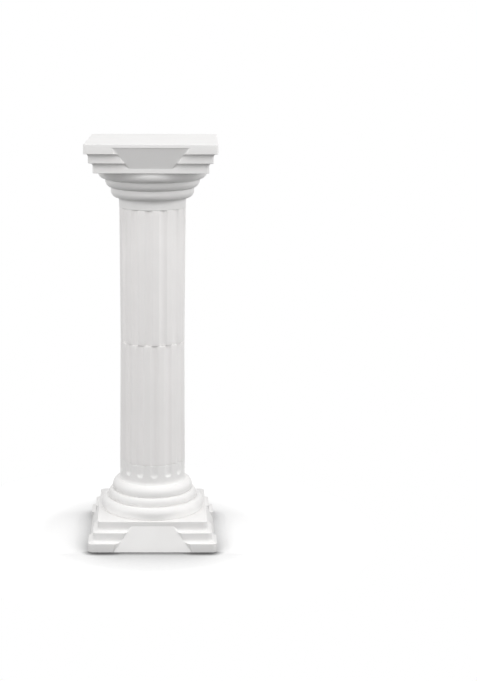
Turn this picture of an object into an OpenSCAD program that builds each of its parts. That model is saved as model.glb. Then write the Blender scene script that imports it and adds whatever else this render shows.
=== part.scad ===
// Doric display column in four hollow plastic mouldings, stacked on round spigots:
// a stepped foot, two fluted shaft tubes and a stepped capital.
// Millimetres, +Z up, origin at the centre of the underside.

/* [Plates] */
// Side of the square top plate and of the square foot plate
plate_w = 279; // [240:1:340]
// Wall thickness of all four mouldings
wall = 3; // [2:0.5:4]

/* [Capital] */
// Heights of the capital's square steps, from the flat top down
capital_step_h = [20, 20, 21.5]; // [15:0.5:30]
// Radius on the upright corners of the capital's square steps
capital_corner_r = 5; // [2:0.5:12]
// How far each step of the capital stands in from the one above it
capital_step_in = 9.1; // [6:0.1:12]
// Heights of the capital's round rings, from the largest down
capital_ring_h = [22, 19.5, 22]; // [18:0.5:30]
// How far the capital's largest ring stays inside the face of the last step
capital_ring_inset = 3.3; // [2:0.1:10]
// Height of the plain neck under the capital's rings
capital_neck_h = 21; // [14:0.5:50]
// Height of the flat rim above each sunk panel of the capital
capital_rim_lip = 7; // [4:0.5:12]
// Angle that the capital is turned on the shaft
capital_turn = -1.7; // [-45:0.1:45]

/* [Base] */
// Heights of the base's square steps, from the floor up
base_step_h = [19.5, 21, 22]; // [15:0.5:30]
// Radius on the upright corners of the base's square steps
base_corner_r = 10; // [2:0.5:12]
// How far each step of the base stands in from the one below it
base_step_in = 10.2; // [6:0.1:12]
// Heights of the base's round rings, from the largest up
base_ring_h = [26.5, 19.5, 20]; // [18:0.5:30]
// How far the base's largest ring stays inside the face of the last step
base_ring_inset = 5.4; // [2:0.1:10]
// Height of the fluted neck above the base's rings
base_neck_h = 43.5; // [32:0.5:80]
// Height of the plain band under the rounded ends of the neck's flutes
base_band_h = 16.5; // [11:0.5:20]

/* [Rings] */
// Radius of the quarter round on every ring
ovolo_r = 15.5; // [10:0.5:16]
// Spread of the three rings, where 0 is the neck and 1 the largest ring
ring_spread = [1, 0.63, 0.39]; // [0:0.01:1]
// Height of the slight flare between the neck and the smallest ring
flare_h = 10; // [6:0.5:11]
// How far that flare stands out from the neck
flare_out = 2; // [0.5:0.5:3]

/* [Sunk panels] */
// Width of a sunk panel where it would meet the plate's flat face
panel_wide = 170; // [120:1:200]
// Width of a sunk panel at its narrow end
panel_narrow = 90; // [50:1:110]
// Height of the last step's face left beyond the narrow end
panel_lip = 10; // [6:0.5:14]
// How far the wide end of a panel of the base lies behind the plate's edge
base_panel_sink = 0.4; // [0.2:0.1:3]
// How far the wide end of a panel of the capital lies behind the plate's edge
capital_panel_sink = 1; // [0.2:0.1:3]
// Angle by which the two sides of a panel slope to the steps
panel_draft = 52; // [10:1:55]

/* [Shaft] */
// Height of the upper tube between its two joints
upper_h = 294; // [150:1:600]
// Height of the lower tube between its two joints
lower_h = 268; // [150:1:600]
// Diameter of the shaft at the capital and at the base
shaft_end_d = 143.6; // [120:0.2:180]
// Diameter of the shaft where the two tubes meet
shaft_mid_d = 140; // [118:0.2:180]
// How far the capital's plain neck stands out from the shaft
neck_out = 0.5; // [0:0.1:1]

/* [Flutes] */
// Number of flutes round the shaft
flute_count = 14; // [8:1:16]
// Width of one flute across its mouth
flute_w = 17; // [8:0.5:20]
// Depth of one flute
flute_depth = 3.5; // [2:0.1:5]
// Angle of one flute of the upper tube from the front
upper_turn = -7.2; // [-13:0.1:13]
// Angle of one flute of the lower tube and base from the front
lower_turn = 3.2; // [-13:0.1:13]

/* [Joints] */
// Height of each spigot
spigot_h = 16; // [10:0.5:30]
// Radial clearance between a spigot and the tube round it
spigot_gap = 0.5; // [0.3:0.1:1.5]
// Lead-in at the free edge of each spigot
spigot_lead = 1.5; // [0.5:0.1:2.5]

/* [Hidden] */
$fn = 96;

// Overlap that lets one solid run cleanly into or through the next
over = 1;
// Length by which a flute cutter runs past the end of its tube
flute_run = 10;

end_r = shaft_end_d / 2;
mid_r = shaft_mid_d / 2;

function total(list, count) = count == 0 ? 0 : list[count - 1] + total(list, count - 1);

base_h = total(base_step_h, 3) + total(base_ring_h, 3) + base_neck_h;
capital_h = total(capital_step_h, 3) + total(capital_ring_h, 3) + capital_neck_h;
mid_joint_z = base_h + lower_h;
top_joint_z = mid_joint_z + upper_h;
column_h = top_joint_z + capital_h;

// Radius of the round cutter that leaves a flute of the named width and depth
// in a shaft of radius r
function cutter_r(r) =
    let (half = flute_w / 2, sag = sqrt(r * r - half * half) - (r - flute_depth))
    (half * half + sag * sag) / (2 * sag);

// How much the bore of a tube narrows over the height of a spigot
tube_drop = abs(end_r - mid_r) * spigot_h / min(upper_h, lower_h);
// Radial play of a spigot, which is more than its clearance where the tubes narrow fast
spigot_play = max(spigot_gap, tube_drop + 0.3);

// Outer radius of a spigot that enters a tube of radius r
function spigot_r(r) = r - flute_depth - wall - spigot_play;

// Half the side of the square step number k, counted from the flat face
function step_half(step_in, k) = plate_w / 2 - k * step_in;

// Radius of ring number k over a neck of radius neck_r
function ring_r(step_in, inset, neck_r, k) =
    neck_r + ring_spread[k] * (step_half(step_in, 2) - inset - neck_r);

module rounded_square(half, r) {
    square([2 * half, 2 * (half - r)], center = true);
    square([2 * (half - r), 2 * half], center = true);
    for (x = [-1, 1], y = [-1, 1])
        translate([x * (half - r), y * (half - r)]) circle(r);
}

// The square steps from the flat face at z = 0. Shrink gives the hollow inside
// them, and floor_t the thickness of the flat face, or less than 0 if it is open.
module steps(step_h, step_in, corner_r, shrink = 0, floor_t = 0) {
    for (k = [0:2]) {
        low = k == 0 ? floor_t : total(step_h, k) - (shrink > 0 ? shrink + over : 0);
        high = total(step_h, k + 1) - shrink;
        translate([0, 0, low])
            linear_extrude(high - low)
                rounded_square(step_half(step_in, k) - shrink, max(corner_r - shrink, 1));
    }
}

// Half section of one ring: upright side below, which runs down by root into what
// carries it, and quarter round above
module ring_section(r, h, shrink, root) {
    side_h = h - ovolo_r;
    translate([0, -root]) square([r - shrink, side_h + root]);
    translate([0, -over]) square([r - ovolo_r, h + over - shrink]);
    translate([r - ovolo_r, side_h])
        intersection() {
            circle(ovolo_r - shrink);
            square(ovolo_r);
        }
}

// The three rings that rise from the steps
module rings(step_h, step_in, ring_h, inset, neck_r, shrink = 0) {
    for (k = [0:2])
        translate([0, 0, total(step_h, 3) + total(ring_h, k) - shrink])
            rotate_extrude()
                ring_section(ring_r(step_in, inset, neck_r, k), ring_h[k] + shrink, shrink,
                    k > 0 && shrink == 0 ? ovolo_r : over);
}

// The neck with its flare, from the rings to the joint
module neck(low, high, neck_r, shrink = 0) {
    translate([0, 0, low - over - shrink])
        cylinder(r = neck_r - shrink, h = high - low + over);
    translate([0, 0, low - shrink])
        cylinder(r1 = neck_r + flare_out - shrink, r2 = neck_r - shrink, h = flare_h);
}

// A sunk panel is a plane that slants from near the plate's edge to the face of the
// last step. It cuts off the outer corners of the steps and fills their inner ones.
function panel_end(step_h) = total(step_h, 3) - panel_lip;

function panel_slope(step_h, step_in, rim_lip, sink) =
    (2 * step_in - sink) / (panel_end(step_h) - max(rim_lip, 0));

// Solid with six flat faces on the front side, from height low to high. One face
// lies on the panel's plane, moved in by grow. The solid goes out from there by
// reach, or in if reach is less than 0, and its two sides open at the draft.
module panel_block(step_h, step_in, slope, low, high, reach, grow = 0) {
    slant = sqrt(1 + slope * slope);
    side_grow = grow * (1 / cos(panel_draft) - slant * tan(panel_draft));
    narrowing = (panel_wide - panel_narrow) / 2 / panel_end(step_h);
    spread = abs(reach) * tan(panel_draft);
    function half(z) = panel_wide / 2 - z * narrowing + side_grow;
    function depth(z) =
        step_half(step_in, 2) + (panel_end(step_h) - z) * slope - slant * grow;
    function corner(side, z, out) =
        [side * (half(z) + out * spread), -depth(z) - out * reach, z];
    turned = reach < 0;
    polyhedron(
        points = [
            corner(turned ? 1 : -1, low, 0), corner(turned ? -1 : 1, low, 0),
            corner(turned ? -1 : 1, low, 1), corner(turned ? 1 : -1, low, 1),
            corner(turned ? 1 : -1, high, 0), corner(turned ? -1 : 1, high, 0),
            corner(turned ? -1 : 1, high, 1), corner(turned ? 1 : -1, high, 1)
        ],
        faces = [
            [3, 2, 1, 0], [4, 5, 6, 7], [1, 5, 4, 0], [2, 6, 5, 1], [3, 7, 6, 2], [0, 4, 7, 3]
        ]);
}

// What the panels take out of the steps. Grow leaves a wall behind them.
module panel_cuts(step_h, step_in, rim_lip, sink, grow = 0) {
    low = grow > 0 ? -2 * over : rim_lip;
    clear = (total(step_h, 2) + panel_end(step_h)) / 2;
    high = grow > 0 ? panel_end(step_h) + grow : clear;
    for (side = [0:90:270])
        rotate([0, 0, side])
            panel_block(step_h, step_in, panel_slope(step_h, step_in, rim_lip, sink),
                low, high, 3 * step_in, grow);
}

// What the panels fill in the inner corners of the steps
module panel_fills(step_h, step_in, rim_lip, sink) {
    for (side = [0:90:270])
        rotate([0, 0, side])
            panel_block(step_h, step_in, panel_slope(step_h, step_in, rim_lip, sink),
                step_h[0] - over, panel_end(step_h) + over, -wall - over);
}

// Flute cutters for a tube from radius low_r to high_r over height h
module flutes(low_r, high_r, h, turn, grow = 0) {
    r = cutter_r(end_r);
    lean = atan((high_r - low_r) / h);
    for (i = [0:flute_count - 1])
        rotate([0, 0, turn - 90 + i * 360 / flute_count])
            translate([low_r - flute_depth + r, 0, 0])
                rotate([0, lean, 0])
                    translate([0, 0, -flute_run])
                        cylinder(r = r + grow, h = h + 2 * flute_run);
}

// Flute cutters that start in a rounded end at height low
module round_ended_flutes(low, high, turn, grow = 0) {
    r = cutter_r(end_r);
    end_rise = sqrt(r * r - (r - flute_depth) * (r - flute_depth));
    for (i = [0:flute_count - 1])
        rotate([0, 0, turn - 90 + i * 360 / flute_count])
            translate([end_r - flute_depth + r, 0, low + end_rise]) {
                cylinder(r = r + grow, h = high - low - end_rise + flute_run);
                sphere(r + grow);
            }
}

// Spigot that rises from a web at height z and enters a tube of radius r
module spigot(z, r) {
    outer = spigot_r(r);
    translate([0, 0, z])
        difference() {
            union() {
                translate([0, 0, -wall]) cylinder(r = outer, h = wall + spigot_h - spigot_lead);
                translate([0, 0, spigot_h - spigot_lead])
                    cylinder(r1 = outer, r2 = outer - spigot_lead, h = spigot_lead);
            }
            translate([0, 0, -wall - over]) cylinder(r = outer - wall, h = wall + spigot_h + 2 * over);
        }
}

// Capital or base, built from its flat face at z = 0 up to the joint
module end_moulding(step_h, step_in, corner_r, ring_h, inset, neck_r, neck_h, rim_lip, sink,
        floor_t, fluted) {
    rings_top = total(step_h, 3) + total(ring_h, 3);
    joint = rings_top + neck_h;
    difference() {
        steps_and_rings(step_h, step_in, corner_r, ring_h, inset, neck_r, joint, rim_lip, sink);
        if (fluted) round_ended_flutes(rings_top + base_band_h, joint, lower_turn);
        hollow(step_h, step_in, corner_r, ring_h, inset, neck_r, joint, rim_lip, sink, floor_t, fluted);
        translate([0, 0, joint - wall - over])
            cylinder(r = spigot_r(end_r) - wall, h = wall + 2 * over);
    }
    spigot(joint, end_r);
}

module steps_and_rings(step_h, step_in, corner_r, ring_h, inset, neck_r, joint, rim_lip, sink) {
    difference() {
        steps(step_h, step_in, corner_r);
        panel_cuts(step_h, step_in, rim_lip, sink);
    }
    panel_fills(step_h, step_in, rim_lip, sink);
    rings(step_h, step_in, ring_h, inset, neck_r);
    neck(total(step_h, 3) + total(ring_h, 3), joint, neck_r);
}

// The space inside a capital or base, one wall in from its outside
module hollow(step_h, step_in, corner_r, ring_h, inset, neck_r, joint, rim_lip, sink, floor_t, fluted) {
    rings_top = total(step_h, 3) + total(ring_h, 3);
    difference() {
        union() {
            steps(step_h, step_in, corner_r, wall, floor_t);
            rings(step_h, step_in, ring_h, inset, neck_r, wall);
            neck(rings_top, joint, neck_r, wall);
        }
        panel_cuts(step_h, step_in, rim_lip, sink, wall);
        if (fluted) round_ended_flutes(rings_top + base_band_h, joint, lower_turn, wall);
    }
}

// Fluted tube of even wall from radius low_r at z = 0 to high_r at z = h. Its
// lower end is open, or has a floor with a hole of radius floor_hole_r.
module tube(low_r, high_r, h, turn, floor_hole_r = 0) {
    hollow_z = floor_hole_r > 0 ? wall : -over;
    difference() {
        cylinder(r1 = low_r, r2 = high_r, h = h);
        flutes(low_r, high_r, h, turn);
        difference() {
            translate([0, 0, hollow_z])
                cylinder(r1 = low_r - wall, r2 = high_r - wall, h = h + over - hollow_z);
            flutes(low_r, high_r, h, turn, wall);
        }
        if (floor_hole_r > 0)
            translate([0, 0, -over]) cylinder(r = floor_hole_r, h = wall + 2 * over);
    }
}

module capital() {
    color([0.95, 0.95, 0.94])
        translate([0, 0, column_h])
            rotate([0, 0, capital_turn])
                mirror([0, 0, 1])
                    end_moulding(capital_step_h, capital_step_in, capital_corner_r,
                        capital_ring_h, capital_ring_inset, end_r + neck_out, capital_neck_h,
                        capital_rim_lip, capital_panel_sink, wall, false);
}

module upper_shaft() {
    color([0.93, 0.92, 0.91])
        translate([0, 0, mid_joint_z]) {
            tube(mid_r, end_r, upper_h, upper_turn, spigot_r(mid_r) - wall);
            mirror([0, 0, 1]) spigot(0, mid_r);
        }
}

module lower_shaft() {
    color([0.93, 0.92, 0.91])
        translate([0, 0, base_h])
            tube(end_r, mid_r, lower_h, lower_turn);
}

module base() {
    color([0.95, 0.95, 0.94])
        end_moulding(base_step_h, base_step_in, base_corner_r, base_ring_h,
            base_ring_inset, end_r, base_neck_h, -over, base_panel_sink, -over, true);
}

capital();
upper_shaft();
lower_shaft();
base();
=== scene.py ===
"""A doric display column: four hollow mouldings of white plastic that stack on spigots."""

import math

import bmesh
import bpy
from mathutils import Matrix, Vector


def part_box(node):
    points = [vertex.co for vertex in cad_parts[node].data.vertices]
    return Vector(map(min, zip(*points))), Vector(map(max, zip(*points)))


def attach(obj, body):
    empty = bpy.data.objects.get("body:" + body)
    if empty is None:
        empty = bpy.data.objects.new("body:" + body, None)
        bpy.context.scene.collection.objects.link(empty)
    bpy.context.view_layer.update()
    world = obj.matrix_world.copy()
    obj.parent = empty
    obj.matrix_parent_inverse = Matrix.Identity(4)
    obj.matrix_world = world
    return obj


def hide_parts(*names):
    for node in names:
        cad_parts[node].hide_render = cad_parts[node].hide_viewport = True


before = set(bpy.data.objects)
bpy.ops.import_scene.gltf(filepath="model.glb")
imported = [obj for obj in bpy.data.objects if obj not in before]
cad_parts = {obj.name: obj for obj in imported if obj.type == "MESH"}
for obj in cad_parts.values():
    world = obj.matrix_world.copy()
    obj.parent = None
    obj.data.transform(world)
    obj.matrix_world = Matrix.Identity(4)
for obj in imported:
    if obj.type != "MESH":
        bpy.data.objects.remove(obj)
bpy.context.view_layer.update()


# ---- Base -------------------------------------------------------------------------------------
# The foot of the column is one hollow polystyrene moulding, open underneath. Three square steps
# with a sunk panel in each side carry three round rings and a short fluted neck, and a spigot
# stands up inside the neck for the lower tube.

mm = 0.001
wall = 3 * mm
plate_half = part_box("base")[1].x
base_halves = [plate_half, plate_half - 10.2 * mm, plate_half - 20.4 * mm]
base_levels = [19.5 * mm, 40.5 * mm, 62.5 * mm]
base_corner_r = 10 * mm
step_edge = 0.9 * mm
foot_edge = 1.4 * mm
step_fillet = 7 * mm
last_ledge_w = 2 * mm
face_margin = 5 * mm

# Rings, as (radius, height of the top) from the widest up, and the flare from them to the neck.
# The feet of the base's rings turn in, and each ring dips where the next one stands on it.
base_rings = [(113.4 * mm, 89 * mm), (97.3 * mm, 108.5 * mm), (88.4 * mm, 128.5 * mm)]
base_ring_tuck = (2.5 * mm, 6 * mm)
base_ring_dip = 2 * mm
dip_w = 7 * mm
ovolo_r = 15.5 * mm
flare_h = 8 * mm
flare_out = 2 * mm

# The neck has the radius of the tube that stands on it, and a rounded rim.
base_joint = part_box("lower_shaft")[0].z
foot_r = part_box("lower_shaft")[1].x
tube_rim = 1.0 * mm
spigot_h = 16 * mm
spigot_gap = 0.5 * mm
spigot_lead = 1.5 * mm
spigot_foot = 0.6 * mm

# Panels: a plane that slants from near the plate's edge to the face of the last step. It cuts
# off the outer corners of the steps and fills their inner ones, and its sides are bevelled.
base_panel_low = 0.0
base_panel_sink = 0.4 * mm
panel_wide = 85 * mm
panel_narrow = 45 * mm
panel_lip = 10 * mm
panel_bevel = math.radians(52)
panel_soft = 2.2 * mm
panel_rim_round = 1.5 * mm

# Every level of a moulding is a closed line with the same number of points: 36 to each flute,
# which is 126 to each side of a square level.
flute_count = 14
level_points = 36 * flute_count
face_points = 16
bend_points = 4
corner_points = 6
flat_points = level_points // 8 - face_points - 2 * bend_points - 1 - corner_points
least_bevel = 0.02 * mm
tiny = 0.0001 * mm


def bend(before, corner, after, cut, steps, most=0.8):
    """Points of a soft corner that starts and ends at most cut away from it, and never takes
    more than the share most of a neighbouring line. A point is one or two pairs of numbers."""
    ends = []
    for other in (before, corner, after):
        run = [o - c for o, c in zip(other, corner)]
        length = max(math.hypot(*run[:2]), math.hypot(*run[2:]), tiny)
        share = min(cut / length, most)
        ends.append([c + share * d for c, d in zip(corner, run)])
    points = []
    for k in range(steps + 1):
        t = k / steps
        weights = ((1 - t) ** 2, 2 * t * (1 - t), t * t)
        points.append([sum(w * e[i] for w, e in zip(weights, ends)) for i in range(len(corner))])
    return points


def soften(keys, steps):
    """The line through keys, bent at each one that has a cut. A key is (cut, point)."""
    points = [keys[0][1]]
    for (_, before), (cut, corner), (_, after) in zip(keys, keys[1:], keys[2:]):
        if cut:
            points += bend(before, corner, after, cut, steps)
        else:
            points.append(corner)
    return points + [keys[-1][1]]


def round_level(r, z):
    """A round level of a moulding."""
    turns = [2 * math.pi * k / level_points for k in range(level_points)]
    return [Vector((r * math.sin(a), -r * math.cos(a), z)) for a in turns]


class Panel:
    """A panel on steps of the given halves, levels and corners, all moved in by inset."""

    def __init__(self, halves, levels, low, sink, corner_r, inset=0.0):
        self.corner_r = corner_r - inset
        narrow_z = levels[2] - panel_lip
        self.slope = (halves[0] - sink - halves[2]) / (narrow_z - low)
        self.low = low - inset if low > 0 else low
        self.high = narrow_z + inset
        self.start = halves[2] + narrow_z * self.slope - math.hypot(1, self.slope) * inset
        self.narrowing = (panel_wide - panel_narrow) / narrow_z

    def depth(self, z):
        """Distance of the panel's face from the column's axis."""
        return self.start - z * self.slope

    def height_in_from(self, r, z):
        """Height on the panel's face that lies straight in from (r, z) on the steps."""
        off = (r - self.depth(z)) / (1 + self.slope**2)
        return min(max(z - off * self.slope, self.low), self.high)

    def edge(self, r, z):
        """Half width to the far side of the panel's bevel where it meets (r, z)."""
        return panel_wide - z * self.narrowing + abs(r - self.depth(z)) * math.tan(panel_bevel)


def square_level(panel, key):
    """A square level of a moulding. The key is (r, z) on the steps, then (r, z) in the panel."""
    step_r, step_z, panel_r, panel_z = key
    corner_r = panel.corner_r
    rise = math.hypot(step_r - panel_r, step_z - panel_z)
    x_in = panel.edge(panel_r, panel_z)
    x_out = max(panel.edge(step_r, step_z), x_in + least_bevel)
    straight = step_r - corner_r
    inner = bend((0, 0), (x_in, 0), (x_out, rise), panel_soft, bend_points)
    outer = bend((x_in, 0), (x_out, rise), (straight, rise), panel_soft / 2, bend_points)
    across = [(inner[0][0] * k / face_points, 0) for k in range(face_points)] + inner + outer
    last = outer[-1][0]
    for k in range(1, flat_points + 1):
        across.append((last + (straight - last) * k / flat_points, rise))
    half_line = []
    for x, height in across:
        share = height / rise if rise > tiny else 1
        half_line.append(
            (x, panel_r + (step_r - panel_r) * share, panel_z + (step_z - panel_z) * share)
        )
    for k in range(1, corner_points + 1):
        turn = math.pi / 4 * k / corner_points
        half_line.append(
            (straight + corner_r * math.sin(turn), straight + corner_r * math.cos(turn), step_z)
        )
    # The right half of one side, then the left half of the next, goes round in one direction.
    points = []
    for side in range(4):
        turn = Matrix.Rotation(side * math.pi / 2, 4, "Z")
        next_turn = Matrix.Rotation((side + 1) * math.pi / 2, 4, "Z")
        points += [turn @ Vector((x, -y, z)) for x, y, z in half_line]
        points += [next_turn @ Vector((-x, -y, z)) for x, y, z in reversed(half_line[1:-1])]
    return points


def step_keys(halves, levels, panel, inset, cut, fillet):
    """Keys of a stepped outline from the flat face on, a distance inset inside the steps. Cut
    softens its outer edges, and fillet the inner corners between a ledge and the next face."""
    r = [h - inset for h in halves]
    z = [level - inset for level in levels]

    def both(step_r, step_z):
        panel_z = panel.height_in_from(step_r, step_z)
        return (step_r, step_z, panel.depth(panel_z), panel_z)

    keys = []
    if panel.low > 0:
        keys += [
            (cut, (r[0], panel.low - panel_rim_round, r[0], panel.low)),
            (cut, (r[0], panel.low + panel_rim_round, panel.depth(panel.low), panel.low)),
        ]
    keys += [(cut, both(r[0], z[0])), (fillet, both(r[1], z[0]))]
    keys += [(cut, both(r[1], z[1])), (fillet, both(r[2], z[1]))]
    keys += [
        (cut, (r[2], panel.high, r[2], panel.high)),
        (cut, (r[2], z[2], r[2], z[2])),
        (0, (r[2] - last_ledge_w, z[2], r[2] - last_ledge_w, z[2])),
    ]
    return keys


def ring_line(rings, start_z, neck_r, inset, steps, crease=0.0, tuck=(0.0, 0.0), dip=0.0):
    """Half section of the rings: each is upright, then a quarter round up to the next. Their
    inner corners are rounded by crease, or their feet turn in by the width and height tuck,
    and the ring below sinks by dip at such a foot."""
    tuck_w, tuck_h = tuck
    tuck_turns = [math.pi / 10 * k for k in range(1, 6)] if tuck_w else []
    size = ovolo_r - inset
    line = []
    low = start_z - inset
    for (r, top), (next_r, _) in zip(rings, rings[1:] + [(neck_r, 0)]):
        foot = r - inset
        if crease:
            before = line[-2] if line else (foot + 3 * crease, low)
            line[-1:] = bend(before, (foot, low), (foot, low + 3 * crease), crease, 4)
        else:
            line.append((foot - tuck_w, low))
        for turn in tuck_turns:
            line.append((foot - tuck_w * (1 - math.sin(turn)), low + tuck_h * (1 - math.cos(turn))))
        centre_r, centre_z = r - ovolo_r, top - ovolo_r
        stop = math.acos(min(max((next_r - inset - centre_r) / size, 0), 1))
        for k in range(steps + 1):
            turn = stop * k / steps
            r_here = centre_r + size * math.cos(turn)
            near = max(1 - (r_here - next_r) / dip_w, 0) if next_r > neck_r else 0
            line.append((r_here, centre_z + size * math.sin(turn) - dip * near**2))
        low = line[-1][1]
    return line


def rounded_rim(end_z, way):
    """A tube's outer rim at height end_z, from its skin to its face, as (step in, height). Way
    is 1 at an upper end and -1 at a lower one."""
    turns = [math.pi / 8 * k for k in range(5)]
    return [(-tube_rim * (1 - math.cos(turn)), end_z - way * tube_rim * (1 - math.sin(turn)))
            for turn in turns]


def skin(name, levels, closed):
    """A mesh over the levels. It joins the last level to the first, or closes both ends."""
    merge = 0.002 * mm
    shape = bmesh.new()
    rows = [[shape.verts.new(p) for p in level] for level in levels]
    pairs = list(zip(rows, rows[1:]))
    if closed:
        pairs.append((rows[-1], rows[0]))
    else:
        shape.faces.new(rows[0])
        shape.faces.new(rows[-1])
    for low, high in pairs:
        for k in range(len(low)):
            after = (k + 1) % len(low)
            shape.faces.new((low[k], low[after], high[after], high[k]))
    bmesh.ops.remove_doubles(shape, verts=shape.verts, dist=merge)
    bmesh.ops.dissolve_degenerate(shape, edges=shape.edges, dist=merge)
    bmesh.ops.recalc_face_normals(shape, faces=shape.faces)
    mesh = bpy.data.meshes.new(name)
    shape.to_mesh(mesh)
    shape.free()
    piece = bpy.data.objects.new(name, mesh)
    bpy.context.scene.collection.objects.link(piece)
    return piece


def spigot_line(joint, r, wall_r):
    """Half section from the joint's face over the spigot and back to the inner wall."""
    outer = r - flute_depth - wall - spigot_gap
    top = joint + spigot_h
    return [
        (outer + spigot_foot, joint),
        (outer, joint + spigot_foot),
        (outer, top - spigot_lead),
        (outer - spigot_lead, top),
        (outer - wall, top),
        (outer - wall, joint - wall),
        (wall_r, joint - wall),
    ]


def end_moulding(name, halves, levels, corner_r, rings, panel_low, panel_sink, neck_r, joint,
                 neck_steps, closed_face, crease=0.0, tuck=(0.0, 0.0), dip=0.0):
    """A base or capital as it lies with its flat face on z = 0 and its neck upwards."""
    panel = Panel(halves, levels, panel_low, panel_sink, corner_r)
    inner = Panel(halves, levels, panel_low, panel_sink, corner_r, wall)

    def plain(r, z):
        """A key for a level with no panel in it."""
        return (r, z, r, z)

    # The steps outside, from the flat face or the open foot up, and their inner side.
    keys = step_keys(halves, levels, panel, 0, step_edge, step_fillet)
    inner_keys = step_keys(halves, levels, inner, wall, 0, 0)
    if closed_face:
        start = plain(halves[0] - face_margin, 0)
        rim = (step_edge, plain(halves[0], 0))
        inner_keys = [(0, plain(inner.depth(wall), wall))] + inner_keys[2:]
    else:
        start = (halves[0] - wall, 0, inner.depth(0), 0)
        rim = (foot_edge, (halves[0], 0, panel.depth(0), 0))
        inner_keys = [(0, start)] + inner_keys
    levels_made = [square_level(panel, key) for key in soften([(0, start), rim] + keys, 5)]

    # The rings, the flare and the neck, up to the joint.
    line = ring_line(rings, levels[2], neck_r + flare_out, 0, 14, crease, tuck, dip)
    rings_top = rings[-1][1]
    neck_low = rings_top + flare_h
    for k in range(1, 6):
        t = k / 5
        line.append((neck_r + flare_out * (1 - t) ** 2, rings_top + flare_h * t))
    neck_high = joint - 1.6 * tube_rim
    for k in range(1, neck_steps + 1):
        line.append((neck_r, neck_low + (neck_high - neck_low) * k / neck_steps))
    line += [(neck_r + step, z) for step, z in rounded_rim(joint, 1)]

    # The spigot, and back down the inside.
    line += spigot_line(joint, foot_r, neck_r - wall)
    line += [(neck_r - wall, neck_low + (joint - wall - neck_low) * k / 8)
             for k in range(7, -1, -1)]
    line += reversed(ring_line(rings, levels[2], neck_r, wall, 5))
    levels_made += [round_level(r, z) for r, z in line]
    levels_made += [square_level(inner, key) for _, key in reversed(inner_keys)]
    if closed_face:
        return skin(name, levels_made, False)
    # An open foot's last level is its first one again.
    return skin(name, levels_made[:-1], True)


# Flutes: each is a round-bottomed groove, and the ridges between them have soft arrises.
flute_w = 17 * mm
flute_depth = 3.5 * mm
arris = 1.7 * mm
skin_shell = 1.2 * wall
lower_turn = math.radians(3.2)
sharp_from = math.radians(34)


def groove_radius(r):
    """Radius of a groove of the flutes' width and depth in a shaft of radius r."""
    half = flute_w / 2
    sag = math.sqrt(r * r - half * half) - (r - flute_depth)
    return (half * half + sag * sag) / (2 * sag)


def add_node(tree, kind, inputs=None, **settings):
    """Adds a node, with its settings, and a value or a link for each input given."""
    node = tree.nodes.new(kind)
    for name, value in settings.items():
        setattr(node, name, value)
    for name, value in (inputs or {}).items():
        if isinstance(value, bpy.types.NodeSocket):
            tree.links.new(value, node.inputs[name])
        else:
            node.inputs[name].default_value = value
    return node


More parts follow.
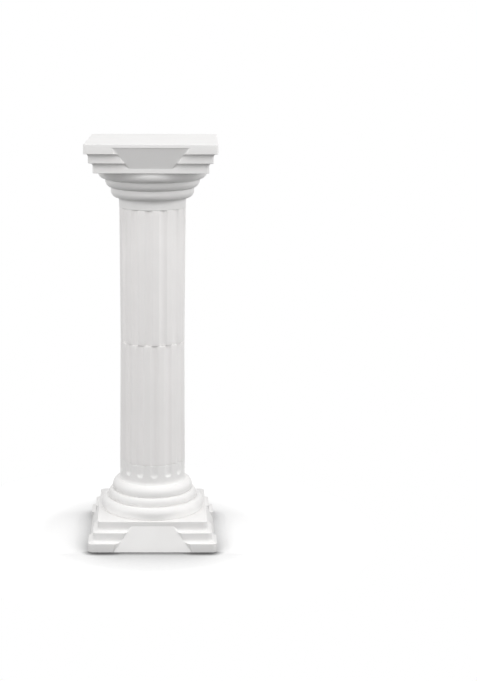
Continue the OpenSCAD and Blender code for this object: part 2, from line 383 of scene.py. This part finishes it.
def flute_tree():
    """Carves flutes into every upright skin that lies within a shell of the shaft's radius."""
    tree = bpy.data.node_groups.new("flutes", "GeometryNodeTree")
    face = tree.interface
    face.new_socket("Geometry", in_out="INPUT", socket_type="NodeSocketGeometry")
    face.new_socket("Flutes", in_out="INPUT", socket_type="NodeSocketInt")
    for name in ("Low radius", "High radius", "Low height", "High height", "Groove radius",
                 "Flute depth", "Arris", "Turn", "Round end height", "Shell"):
        face.new_socket(name, in_out="INPUT", socket_type="NodeSocketFloat")
    face.new_socket("Material", in_out="INPUT", socket_type="NodeSocketMaterial")
    face.new_socket("Geometry", in_out="OUTPUT", socket_type="NodeSocketGeometry")
    given = tree.nodes.new("NodeGroupInput").outputs

    def calc(operation, *values):
        """One step of arithmetic."""
        inputs = dict(enumerate(values))
        return add_node(tree, "ShaderNodeMath", inputs, operation=operation).outputs[0]

    place = add_node(tree, "GeometryNodeInputPosition").outputs[0]
    split = add_node(tree, "ShaderNodeSeparateXYZ", {0: place}).outputs
    x, y, z = split[0], split[1], split[2]
    out = calc("SQRT", calc("ADD", calc("MULTIPLY", x, x), calc("MULTIPLY", y, y)))
    shaft_r = add_node(tree, "ShaderNodeMapRange", {
        "Value": z, "From Min": given["Low height"], "From Max": given["High height"],
        "To Min": given["Low radius"], "To Max": given["High radius"]}).outputs[0]
    # Angle from the middle of the nearest flute. The front of the column faces -Y.
    pitch = calc("DIVIDE", 2 * math.pi, given["Flutes"])
    front = calc("SUBTRACT", calc("ARCTAN2", y, x), calc("SUBTRACT", given["Turn"], math.pi / 2))
    shifted = calc("ADD", front, calc("DIVIDE", pitch, 2.0))
    angle = calc("SUBTRACT", calc("FLOORED_MODULO", shifted, pitch), calc("DIVIDE", pitch, 2.0))
    # Near wall of a round groove whose centre lies outside the shaft. Below the round end's
    # height the groove closes as a ball does.
    centre = calc("ADD", calc("SUBTRACT", shaft_r, given["Flute depth"]), given["Groove radius"])
    aside = calc("MULTIPLY", centre, calc("SINE", angle))
    below = calc("MAXIMUM", calc("SUBTRACT", given["Round end height"], z), 0.0)
    reach = calc("SUBTRACT", calc("MULTIPLY", given["Groove radius"], given["Groove radius"]),
                 calc("ADD", calc("MULTIPLY", aside, aside), calc("MULTIPLY", below, below)))
    near = calc("SUBTRACT", calc("MULTIPLY", centre, calc("COSINE", angle)),
                calc("SQRT", calc("MAXIMUM", reach, 0.0)))
    surface = calc("SMOOTH_MIN", shaft_r, near, given["Arris"])
    cut = calc("SUBTRACT", shaft_r, surface)
    in_shell = calc("GREATER_THAN", out, calc("SUBTRACT", shaft_r, given["Shell"]))
    ratio = calc("DIVIDE", calc("SUBTRACT", out, calc("MULTIPLY", cut, in_shell)), out)
    moved = add_node(tree, "ShaderNodeCombineXYZ", {
        0: calc("MULTIPLY", x, ratio), 1: calc("MULTIPLY", y, ratio), 2: z}).outputs[0]
    shape = add_node(tree, "GeometryNodeSetPosition",
                     {"Geometry": given["Geometry"], "Position": moved}).outputs[0]
    shape = add_node(tree, "GeometryNodeRealizeInstances", {0: shape}).outputs[0]
    shape = add_node(tree, "GeometryNodeSetMaterial",
                     {"Geometry": shape, "Material": given["Material"]}).outputs[0]
    add_node(tree, "NodeGroupOutput", {"Geometry": shape})
    return tree


flutes = flute_tree()


def finish_piece(piece, material, node, values=None, turn=0.0):
    """Carves the flutes that values describe, sets soft shading and hands the piece over."""
    if values:
        carve = piece.modifiers.new("flutes", "NODES")
        carve.node_group = flutes
        sockets = {item.name: item.identifier for item in flutes.interface.items_tree
                   if item.in_out == "INPUT"}
        carve[sockets["Flutes"]] = flute_count
        for name, value in values.items():
            carve[sockets[name]] = value
        carve[sockets["Flute depth"]] = flute_depth
        carve[sockets["Groove radius"]] = groove_radius(foot_r)
        carve[sockets["Arris"]] = arris
        carve[sockets["Shell"]] = skin_shell
        carve[sockets["Material"]] = material
    bpy.context.view_layer.update()
    seen = piece.evaluated_get(bpy.context.evaluated_depsgraph_get())
    mesh = bpy.data.meshes.new_from_object(seen)
    piece.modifiers.clear()
    piece.data = mesh
    if not mesh.materials:
        mesh.materials.append(material)
    mesh.transform(Matrix.Rotation(turn, 4, "Z"))
    mesh.shade_smooth()
    mesh.set_sharp_from_angle(angle=sharp_from)
    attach(piece, "root")
    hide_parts(node)


def colour(code):
    """An sRGB hex colour as linear red, green, blue and alpha."""
    parts = [int(code[k:k + 2], 16) / 255 for k in (0, 2, 4)]
    linear = [c / 12.92 if c <= 0.04045 else ((c + 0.055) / 1.055) ** 2.4 for c in parts]
    return (*linear, 1.0)


def white_polystyrene(name, base_code, shade_code, gloss):
    """High-impact polystyrene as moulded: a satin white with a faint orange peel, and a slow
    drift of tone where the wall cooled unevenly. Real peel is about 1 mm across, too fine to
    show, so it is drawn twice as coarse."""
    material = bpy.data.materials.new(name)
    material.use_nodes = True
    tree = material.node_tree
    shader = tree.nodes["Principled BSDF"]
    place = add_node(tree, "ShaderNodeTexCoord").outputs["Object"]
    drift = add_node(tree, "ShaderNodeTexNoise",
                     {"Vector": place, "Scale": 1 / (90 * mm), "Detail": 3.0, "Roughness": 0.5})
    tone = add_node(tree, "ShaderNodeMapRange",
                    {"Value": drift.outputs[0], "From Min": 0.35, "From Max": 0.65})
    mix = add_node(tree, "ShaderNodeMix", {0: tone.outputs[0], 6: colour(base_code),
                                           7: colour(shade_code)}, data_type="RGBA")
    tree.links.new(mix.outputs[2], shader.inputs["Base Color"])
    peel = add_node(tree, "ShaderNodeTexNoise",
                    {"Vector": place, "Scale": 1 / (2.2 * mm), "Detail": 2.0})
    bump = add_node(tree, "ShaderNodeBump",
                    {"Height": peel.outputs[0], "Strength": 0.25, "Distance": 0.05 * mm})
    tree.links.new(bump.outputs[0], shader.inputs["Normal"])
    shader.inputs["Roughness"].default_value = gloss
    shader.inputs["IOR"].default_value = 1.55
    shader.inputs["Specular IOR Level"].default_value = 0.35
    return material


moulded_ends = white_polystyrene("moulded polystyrene ends", "F5F4F3", "F2F1F0", 0.45)

# The flutes start in round ends, a plain band above the rings.
base_band = 16.5 * mm
neck_round = math.sqrt(groove_radius(foot_r) ** 2 - (groove_radius(foot_r) - flute_depth) ** 2)
base = end_moulding("base_moulding", base_halves, base_levels, base_corner_r, base_rings,
                    base_panel_low, base_panel_sink, foot_r, base_joint, neck_steps=26,
                    closed_face=False, tuck=base_ring_tuck, dip=base_ring_dip)
finish_piece(base, moulded_ends, "base", {
    "Low radius": foot_r, "High radius": foot_r, "Low height": 0.0, "High height": 1.0,
    "Turn": lower_turn, "Round end height": base_rings[-1][1] + base_band + neck_round})


# ---- Shaft tubes ------------------------------------------------------------------------------
# Two fluted polystyrene tubes, each drawn in a little towards the joint at mid height, where the
# spigot of the upper one drops into the lower one. Their ends are slightly rounded.

mid_r = 70.0 * mm
mid_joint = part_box("lower_shaft")[1].z
top_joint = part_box("upper_shaft")[1].z
upper_turn = math.radians(-6.8)


def tube_line(low_r, high_r, low, high, count):
    """Half section of a tube from the inner rim of its lower end, round to that rim again."""
    def side(step, z):
        share = (z - low) / (high - low)
        return (low_r + (high_r - low_r) * share + step, z)

    line = [side(step, z) for step, z in reversed(rounded_rim(low, -1))]
    line += [side(0, low + (high - low) * k / count) for k in range(1, count)]
    line += [side(step, z) for step, z in rounded_rim(high, 1)]
    line += [side(-wall, low + (high - low) * k / count) for k in range(count, 0, -1)]
    return line


# The shaft's white is a shade lighter than the ends'. That is painted light, which makes up for the
# shaft rendering darker under these lamps.
moulded_shaft = white_polystyrene("moulded polystyrene shaft", "F9F7F6", "F6F4F3", 0.5)
lower_line = tube_line(foot_r, mid_r, base_joint, mid_joint, 24)
lower_line.append((foot_r - wall, base_joint))
lower_tube = skin("lower_tube", [round_level(r, z) for r, z in lower_line], True)
finish_piece(lower_tube, moulded_shaft, "lower_shaft", {
    "Low radius": foot_r, "High radius": mid_r, "Low height": base_joint,
    "High height": mid_joint, "Turn": lower_turn, "Round end height": 0.0})

upper_line = tube_line(mid_r, foot_r, mid_joint, top_joint, 26)
spigot_outer = mid_r - flute_depth - wall - spigot_gap
spigot_low = mid_joint - spigot_h
upper_line += [
    (mid_r - wall, mid_joint + wall),
    (spigot_outer - wall, mid_joint + wall),
    (spigot_outer - wall, spigot_low),
    (spigot_outer - spigot_lead, spigot_low),
    (spigot_outer, spigot_low + spigot_lead),
    (spigot_outer, mid_joint),
]
upper_tube = skin("upper_tube", [round_level(r, z) for r, z in upper_line], True)
finish_piece(upper_tube, moulded_shaft, "upper_shaft", {
    "Low radius": mid_r, "High radius": foot_r, "Low height": mid_joint,
    "High height": top_joint, "Turn": upper_turn, "Round end height": 0.0})


# ---- Capital ----------------------------------------------------------------------------------
# The head is a hollow polystyrene moulding like the base, upside down, with a closed flat top and
# a plain neck. Its spigot drops into the upper tube, and it sits turned a little on it.

column_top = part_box("capital")[1].z
capital_halves = [plate_half, plate_half - 9.1 * mm, plate_half - 18.2 * mm]
capital_levels = [20 * mm, 40 * mm, 61.5 * mm]
capital_corner_r = 5 * mm
capital_rings = [(118 * mm, 83.5 * mm), (102 * mm, 103 * mm), (90 * mm, 125 * mm)]
capital_ring_crease = 1.5 * mm
capital_rim = 7 * mm
capital_panel_sink = 1.0 * mm
capital_turn = math.radians(-1.7)
neck_r = foot_r + 0.5 * mm

capital = end_moulding("capital_moulding", capital_halves, capital_levels, capital_corner_r,
                       capital_rings, capital_rim, capital_panel_sink, neck_r,
                       column_top - top_joint, neck_steps=8, closed_face=True,
                       crease=capital_ring_crease)
capital.data.transform(Matrix.Translation((0, 0, column_top)) @ Matrix.Scale(-1, 4, (0, 0, 1)))
capital.data.flip_normals()
finish_piece(capital, moulded_ends, "capital", turn=capital_turn)


# ---- Studio -----------------------------------------------------------------------------------
# A white floor and surround, with wide soft lamps in front and at both sides. Besides the lamps'
# real shadows, the floor's colour has painted shade near the foot, most in front of it.

floor_half = 6.0
floor_mesh = bpy.data.meshes.new("studio_floor")
floor_mesh.from_pydata(
    [(-floor_half, -floor_half, 0), (floor_half, -floor_half, 0),
     (floor_half, floor_half, 0), (-floor_half, floor_half, 0)], [], [(0, 1, 2, 3)])
floor = bpy.data.objects.new("studio_floor", floor_mesh)
bpy.context.scene.collection.objects.link(floor)


def shown_plainly(tree):
    """1 on rays that show the background as it is: the camera's, and those in gloss or glass."""
    rays = add_node(tree, "ShaderNodeLightPath").outputs
    shown = add_node(tree, "ShaderNodeMath", {0: rays["Is Camera Ray"], 1: rays["Is Glossy Ray"]},
                     operation="MAXIMUM").outputs[0]
    return add_node(tree, "ShaderNodeMath", {0: shown, 1: rays["Is Transmission Ray"]},
                    operation="MAXIMUM").outputs[0]


# The floor throws little light back at the column. Where it shows, it takes the lamps' light and
# their shadows. Its colour also carries painted shade from ambient occlusion: a dark contact line
# under the foot and a soft painted shade near it. Further out it glows and turns plain white. A
# pair of values holds in front of the foot's front edge and behind it.
bounce_grey = 0.12
front_edge = (-0.15, -0.13)
contact_reach = 0.02
contact_power = (5.5, 0.15)
shade_reach = (0.35, 0.055)
shade_least = (0.55, 0.75)
shade_open = (0.7, 1.0)
floor_level = 1.09
glow_span = (0.24, 0.7)
white_span = (0.3, 0.5)

floor_material = bpy.data.materials.new("studio floor")
floor_material.use_nodes = True
tree = floor_material.node_tree
tree.nodes.clear()
place = add_node(tree, "ShaderNodeTexCoord").outputs["Object"]
depth = add_node(tree, "ShaderNodeSeparateXYZ", {0: place}).outputs["Y"]
away = add_node(tree, "ShaderNodeVectorMath", {0: place}, operation="LENGTH").outputs["Value"]


def ramp(value, span, low, high):
    """A value that goes from low to high while another goes over span."""
    return add_node(tree, "ShaderNodeMapRange", {
        "Value": value, "From Min": span[0], "From Max": span[1], "To Min": low,
        "To Max": high}).outputs[0]


def by_depth(pair):
    """The pair's first value in front of the foot and its second behind the foot's edge."""
    return ramp(depth, front_edge, *pair)


def openness(reach):
    """1 on open floor, and less where something stands within reach."""
    return add_node(tree, "ShaderNodeAmbientOcclusion", {"Distance": reach},
                    samples=16).outputs["AO"]


# Painted shade: ambient occlusion darkens the floor's colour, most in front of the foot.
painted_contact_shade = add_node(tree, "ShaderNodeMath", {0: openness(contact_reach),
                                            1: by_depth(contact_power)},
                   operation="POWER").outputs[0]
painted_soft_shade = ramp(openness(by_depth(shade_reach)), shade_open, by_depth(shade_least), floor_level)
painted_shade = add_node(tree, "ShaderNodeMath", {0: painted_contact_shade, 1: painted_soft_shade}, operation="MULTIPLY").outputs[0]
lit = add_node(tree, "ShaderNodeBsdfDiffuse", {"Color": painted_shade}).outputs[0]
glow = add_node(tree, "ShaderNodeEmission",
                {"Strength": ramp(away, glow_span, 0.0, 1.0)}).outputs[0]
near = add_node(tree, "ShaderNodeAddShader", {0: lit, 1: glow}).outputs[0]
far = add_node(tree, "ShaderNodeEmission", {"Strength": 1.0}).outputs[0]
shown = add_node(tree, "ShaderNodeMixShader",
                 {0: ramp(away, white_span, 0.0, 1.0), 1: near, 2: far}).outputs[0]
bounce = add_node(tree, "ShaderNodeBsdfDiffuse",
                  {"Color": (bounce_grey, bounce_grey, bounce_grey, 1)}).outputs[0]
mixed = add_node(tree, "ShaderNodeMixShader",
                 {0: shown_plainly(tree), 1: bounce, 2: shown}).outputs[0]
add_node(tree, "ShaderNodeOutputMaterial", {"Surface": mixed})
floor_mesh.materials.append(floor_material)

# The surround is plain white to look at and lights the column at half that.
world = bpy.data.worlds.new("studio")
bpy.context.scene.world = world
world.use_nodes = True
tree = world.node_tree
tree.nodes.clear()
dim = add_node(tree, "ShaderNodeBackground", {"Color": (1, 1, 1, 1), "Strength": 0.5}).outputs[0]
white = add_node(tree, "ShaderNodeBackground",
                 {"Color": (1, 1, 1, 1), "Strength": 1.0}).outputs[0]
mixed = add_node(tree, "ShaderNodeMixShader",
                 {0: shown_plainly(tree), 1: dim, 2: white}).outputs[0]
add_node(tree, "ShaderNodeOutputWorld", {"Surface": mixed})


column_middle = Vector((0, 0, 0.5))


def soft_lamp(name, place, width, height, power):
    """A soft light of the given width and height at place, which points at the column."""
    lamp = bpy.data.lights.new(name, "AREA")
    lamp.shape = "RECTANGLE"
    lamp.size, lamp.size_y = width, height
    lamp.energy = power
    light = bpy.data.objects.new(name, lamp)
    light.location = place
    light.rotation_euler = (column_middle - Vector(place)).to_track_quat("-Z", "Y").to_euler()
    bpy.context.scene.collection.objects.link(light)


soft_lamp("key", (0.18, -1.8, 3.3), 2.3, 1.2, 21)
soft_lamp("front fill", (0, -3.67, 1.3), 3.0, 1.0, 17)
soft_lamp("left fill", (-2.2, -1.85, 2.3), 1.6, 1.6, 20)
soft_lamp("right fill", (2.2, -1.85, 2.3), 1.6, 1.6, 19)
soft_lamp("left side", (-2.96, -0.26, 1.7), 1.4, 1.4, 17)
soft_lamp("right side", (2.96, -0.26, 1.7), 1.4, 1.4, 26)

camera_tilt = math.radians(10.1)
lens = bpy.data.cameras.new("camera")
lens.sensor_fit = "HORIZONTAL"
lens.sensor_width = 36
lens.lens = 116.02
lens.shift_x = 0.1803
lens.shift_y = -0.1214
camera = bpy.data.objects.new("camera", lens)
camera.location = (0, -3.3026, 1.1555)
camera.rotation_euler = (math.pi / 2 - camera_tilt, 0, 0)
bpy.context.scene.collection.objects.link(camera)
bpy.context.scene.camera = camera
bpy.context.scene.view_settings.view_transform = "Standard"
